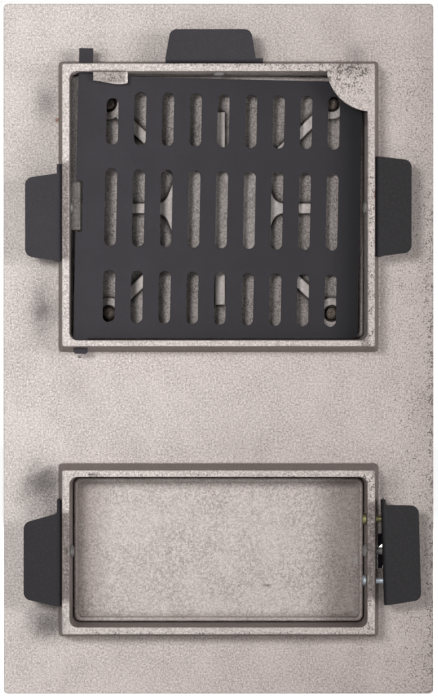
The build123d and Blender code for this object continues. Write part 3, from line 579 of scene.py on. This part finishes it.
def material_paint(name, shade=1.0, shade_to_right=0.0, grime=0.12):
    """Matt graphite stove paint on sheet steel: a fine tooth, worn thin on the edges."""
    c, s = colours(), sizes()
    made, t, shader = new_material(name)
    place = t.place()
    x = t.split(place)[0]
    tooth = t.noise(place, 1500.0, 4.0, 0.75)
    dust = t.noise(place, 620.0, 3.0, 0.7)
    cloud = t.noise(place, 38.0, 4.0, 0.6)
    edge = t.group(GROUPS["edge"], {"Place": place, "Width": 0.0007})["Mask"]
    base = t.mix(t.ramp(cloud, 0.3, 0.7), shaded(c.paint, shade * 0.82), shaded(c.paint, shade))
    base = t.mix(t.ramp(dust, 0.42, 0.75, 0.0, grime), base, shaded(c.paint_worn, 0.9))
    # Painted shade on the guard: darker towards -X, darkest beside the -X collar wall that shadows
    # it
    if shade_to_right:
        base = t.mix(t.ramp(x, 0.09, -0.07, 0.0, shade_to_right), base, tuple(c.guard_shade))
        base = t.mix(t.ramp(x, -0.070, -0.092, 0.0, 0.92), base, shaded(c.guard_shade, 0.8))
    base = t.mix(t.ramp(tooth, 0.68, 0.84, 0.0, 0.35), base, tuple(c.paint_worn))
    base = t.mix(t.math("MULTIPLY", edge, 0.45), base, tuple(c.paint_worn))
    t.feed(shader.inputs["Base Color"], base)
    t.feed(shader.inputs["Roughness"], t.ramp(tooth, 0.3, 0.7, 0.66, 0.54))
    shader.inputs["Specular IOR Level"].default_value = 0.2
    bump(t, shader, tooth, 0.35, 0.00012, 0.0005)
    return made


def material_metal(name, rgb, rough, rusting, shine=0.85, sunk=None):
    """Small metal parts: a drawn or turned skin, rusty in spots and blooms, dull where sunk."""
    c = colours()
    made, t, shader = new_material(name)
    place = t.place()
    fine = t.noise(place, 1800.0, 3.0, 0.6)
    cloud = t.noise(place, 240.0, 3.0, 0.6)
    rust = t.group(GROUPS["rust"], {"Place": place, "Amount": rusting})["Mask"]
    edge = t.group(GROUPS["edge"], {"Place": place, "Width": 0.0005})["Mask"]
    dark = shaded(rgb, 0.62)
    base = t.mix(t.ramp(cloud, 0.3, 0.7), dark, tuple(rgb))
    base = t.mix(rust, base, tuple(c.rust))
    base = t.mix(t.math("MULTIPLY", edge, 0.4), base, tuple(c.steel))
    dull = t.math("MULTIPLY", rust, 0.8)
    if sunk is not None:
        inside = t.ramp(t.split(place)[1], sunk, sunk + 0.0004)
        base = t.mix(inside, base, shaded(c.iron_light, 0.36))
        dull = t.math("MAXIMUM", dull, inside)
    t.feed(shader.inputs["Base Color"], base)
    t.feed(shader.inputs["Metallic"],
           t.math("MULTIPLY", t.math("SUBTRACT", 1.0, dull), shine))
    t.feed(shader.inputs["Roughness"], t.ramp(fine, 0.3, 0.7, rough, rough + 0.14))
    bump(t, shader, fine, 0.25, 0.00008, 0.0003)
    return made


def dress(node_names, material):
    """Puts one material on every slot of some CAD nodes."""
    for name in node_names:
        for slot in NODES[name].material_slots:
            slot.material = material


def nodes_with(word):
    return [name for name in NODES if word in name]


# Operators, one for the stage and one for each piece or group of like pieces

class DoorOperator(bpy.types.Operator):
    bl_options = {"REGISTER", "UNDO"}


class STOVE_OT_stage(DoorOperator):
    """Camera at the photograph's place, pale floor, soft light"""
    bl_idname = "stove.stage"
    bl_label = "Stage"

    def execute(self, context):
        s, c = sizes(), colours()
        scene = context.scene
        view = bpy.data.cameras.new("Camera")
        view.sensor_fit = "HORIZONTAL"
        view.sensor_width = SENSOR_MM
        view.lens = SENSOR_MM * s.camera_distance / PHOTO_WIDTH_M
        view.clip_end = 50.0
        camera = bpy.data.objects.new("Camera", view)
        camera.location = (s.camera_x, s.camera_distance, s.camera_z)
        camera.rotation_euler = (math.radians(90), 0.0, math.radians(180))
        scene.collection.objects.link(camera)
        scene.camera = camera
        scene.view_settings.view_transform = "Standard"
        self.floor(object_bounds()[0][2], c, s)
        self.light(scene, s)
        return {"FINISHED"}

    def floor(self, level, c, s):
        bpy.ops.object.select_all(action="DESELECT")
        bpy.ops.mesh.primitive_plane_add(size=2 * s.floor_half,
                                         location=(0.0, 0.0, level - FLOOR_GAP))
        floor = bpy.context.object
        floor.name = "Floor"
        made, t, shader = new_material("Floor")
        plain = backdrop_rays(t)
        shader.inputs["Base Color"].default_value = c.floor
        shader.inputs["Roughness"].default_value = 0.9
        glow = t.add("ShaderNodeEmission",
                     {"Color": WHITE, "Strength": t.math("MULTIPLY", plain, FLOOR_GLOW)})
        both = t.add("ShaderNodeAddShader", {0: shader.outputs[0], 1: glow.outputs[0]})
        end = next(n for n in made.node_tree.nodes if n.type == "OUTPUT_MATERIAL")
        made.node_tree.links.new(both.outputs[0], end.inputs[0])
        floor.data.materials.append(made)
        floor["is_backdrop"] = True

    def light(self, scene, s):
        world = bpy.data.worlds.new("Studio")
        scene.world = world
        world.use_nodes = True
        world.node_tree.nodes.clear()
        t = Tree(world.node_tree)
        plain = backdrop_rays(t)
        fill = t.add("ShaderNodeBackground", {"Color": WHITE, "Strength": FILL})
        white = t.add("ShaderNodeBackground", {"Color": WHITE, "Strength": 1.0})
        both = t.add("ShaderNodeMixShader", {0: plain, 1: fill.outputs[0], 2: white.outputs[0]})
        end = t.add("ShaderNodeOutputWorld")
        world.node_tree.links.new(both.outputs[0], end.inputs[0])
        for name, place, extent, power in SOFTBOXES:
            self.lamp(scene, name, place, extent, getattr(s, power))

    def lamp(self, scene, name, place, extent, power):
        """A softbox that faces the object."""
        lamp = bpy.data.lights.new(name, "AREA")
        lamp.shape = "RECTANGLE"
        lamp.size, lamp.size_y = extent
        lamp.energy = power
        box = bpy.data.objects.new(name, lamp)
        box.location = place
        toward = Vector(LIGHT_AIM) - box.location
        box.rotation_euler = toward.to_track_quat("-Z", "Y").to_euler()
        box.visible_camera = False
        scene.collection.objects.link(box)


class STOVE_OT_frame(DoorOperator):
    """Bare-backed frame casting with its painted room side"""
    bl_idname = "stove.frame"
    bl_label = "Frame casting"

    def execute(self, context):
        dress(["frame"], material_frame())
        return {"FINISHED"}


def cast_block(name, low, high, corner):
    """A block cast on a wall, its free corners on the -X side rounded."""
    bpy.ops.object.select_all(action="DESELECT")
    centre = [(a + b) / 2 for a, b in zip(low, high)]
    bpy.ops.mesh.primitive_cube_add(size=1.0)
    block = bpy.context.object
    block.name = name
    bpy.ops.object.mode_set(mode="EDIT")
    bpy.ops.mesh.select_all(action="SELECT")
    bpy.ops.transform.resize(value=[b - a for a, b in zip(low, high)])
    bpy.ops.transform.translate(value=centre)
    bpy.ops.mesh.select_all(action="DESELECT")
    mesh = bmesh.from_edit_mesh(block.data)
    for edge in mesh.edges:
        first, second = (block.matrix_world @ vert.co for vert in edge.verts)
        free = abs(first.y - second.y) > 0.001 and first.x < centre[0]
        edge.select = free
    mesh.select_flush_mode()
    bmesh.update_edit_mesh(block.data)
    bpy.ops.mesh.bevel(offset=corner, segments=5, affect="EDGES")
    bpy.ops.object.mode_set(mode="OBJECT")
    soft = block.modifiers.new("Soft edges", "BEVEL")
    soft.width, soft.segments, soft.limit_method = 0.0005, 2, "ANGLE"
    bpy.ops.object.modifier_apply(modifier=soft.name)
    bpy.ops.object.transform_apply(location=True, rotation=True, scale=True)
    return block


class STOVE_OT_stops(DoorOperator):
    """Stop lug and ledge cast on the hinge-side wall of the upper collar"""
    bl_idname = "stove.stops"
    bl_label = "Cast stops"

    def execute(self, context):
        rough = material_casting("Stop casting", 0.21, 0.5, 0.3, (), 0.35)
        lug = cast_block("guard_stop_lug", (0.0952, 0.0120, 0.1229), (0.1024, 0.0206, 0.1559),
                         0.0014)
        ledge = cast_block("guard_stop_ledge", (0.0955, 0.0120, 0.1559), (0.1024, 0.0176, 0.2290),
                           0.0010)
        for piece in (lug, ledge):
            piece.data.materials.append(rough)
            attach(piece, "frame")
        return {"FINISHED"}


class STOVE_OT_doors(DoorOperator):
    """Fire door and ash door"""
    bl_idname = "stove.doors"
    bl_label = "Doors"

    def execute(self, context):
        # The ash pan gets painted shade at its ends and bottom from the pan rows
        dress(["fire_door", "ash_door"],
              material_casting("Door casting", 0.90, 0.25, 0.0, PAN_END_SHADE, 0.25,
                               marks=PAN_MARKS))
        return {"FINISHED"}


class STOVE_OT_liner(DoorOperator):
    """Ribbed liner behind the guard"""
    bl_idname = "stove.liner"
    bl_label = "Liner"

    def execute(self, context):
        # Painted shade, in part: the liner's low tone darkens it for the shade of the guard in
        # front of it
        dress(["fire_door_liner"], material_casting("Liner casting", 0.68, 0.45, 0.5, (), 0.95,
                                                    LINER_RAISED, 0.08))
        return {"FINISHED"}


class STOVE_OT_guard(DoorOperator):
    """Slotted ember guard"""
    bl_idname = "stove.guard"
    bl_label = "Ember guard"

    def execute(self, context):
        dress(["ember_guard"], material_paint("Guard paint", 0.88, 0.55, 0.05))
        return {"FINISHED"}


class STOVE_OT_lugs(DoorOperator):
    """Wall lugs bent from painted sheet"""
    bl_idname = "stove.lugs"
    bl_label = "Wall lugs"

    def execute(self, context):
        dress(["anchor_top", "anchor_hinge_upper"], material_paint("Lug paint", 0.84))
        # Painted shade: the lower hinge-side lug and the latch-side lugs are darker copies of the
        # same paint, where less light reaches them
        dress(["anchor_hinge_lower"], material_paint("Dark lug paint", 0.36, grime=0.10))
        dress(["anchor_latch_upper", "anchor_latch_lower"],
              material_paint("Darkest lug paint", 0.18, grime=0.10))
        return {"FINISHED"}


class STOVE_OT_fasteners(DoorOperator):
    """Rivets, screws, nuts and hinge pins"""
    bl_idname = "stove.fasteners"
    bl_label = "Fasteners"

    def execute(self, context):
        c = colours()
        dress(nodes_with("rivet"), material_metal("Rivet steel", shaded(c.steel, 0.55), 0.5, 0.45,
                                                  0.45))
        dress(nodes_with("pin"), material_metal("Turned steel", c.steel, 0.28, 0.1))
        dress(nodes_with("latch_screw"),
              material_metal("Screw steel", c.steel, 0.28, 0.1, sunk=SCREW_SUNK))
        dress(["loose_screw_1", "loose_nut_1"],
              material_metal("Yellow zinc", c.yellow_zinc, 0.35, 0.15))
        dress(["loose_screw_2", "loose_nut_2"],
              material_metal("Bright zinc", c.blue_zinc, 0.32, 0.1))
        dress(nodes_with("liner_screw"), material_metal("Black oxide", c.screw_black, 0.45, 0.05))
        return {"FINISHED"}


class STOVE_OT_latches(DoorOperator):
    """Latch levers and their knobs"""
    bl_idname = "stove.latches"
    bl_label = "Latches"

    def execute(self, context):
        dress(nodes_with("lever"), material_paint("Lever paint"))
        dress(nodes_with("knob"), material_metal("Knob steel", colours().steel, 0.22, 0.05))
        return {"FINISHED"}


OPERATORS = [STOVE_OT_stage, STOVE_OT_frame, STOVE_OT_stops, STOVE_OT_doors, STOVE_OT_liner,
             STOVE_OT_guard, STOVE_OT_lugs, STOVE_OT_fasteners, STOVE_OT_latches]


class STOVE_PT_panel(bpy.types.Panel):
    """Sizes, colours and steps of the stove door"""
    bl_idname = "STOVE_PT_panel"
    bl_label = "Stove Door"
    bl_space_type = "VIEW_3D"
    bl_region_type = "UI"
    bl_category = "Stove Door"

    def draw(self, context):
        for group in (context.scene.stove_door_sizes, context.scene.stove_door_colours):
            box = self.layout.box()
            for name in group.__annotations__:
                box.prop(group, name)
        for operator in OPERATORS:
            self.layout.operator(operator.bl_idname)


CLASSES = [DoorSizes, DoorColours, *OPERATORS, STOVE_PT_panel]


def register():
    for cls in CLASSES:
        bpy.utils.register_class(cls)
    bpy.types.Scene.stove_door_sizes = PointerProperty(type=DoorSizes)
    bpy.types.Scene.stove_door_colours = PointerProperty(type=DoorColours)


def unregister():
    del bpy.types.Scene.stove_door_colours
    del bpy.types.Scene.stove_door_sizes
    for cls in reversed(CLASSES):
        bpy.utils.unregister_class(cls)


def main():
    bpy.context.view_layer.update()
    register()
    build_groups()
    bpy.ops.stove.stage()
    bpy.ops.stove.frame()
    bpy.ops.stove.stops()
    bpy.ops.stove.doors()
    bpy.ops.stove.liner()
    bpy.ops.stove.guard()
    bpy.ops.stove.lugs()
    bpy.ops.stove.fasteners()
    bpy.ops.stove.latches()


if __name__ == "__main__":
    main()
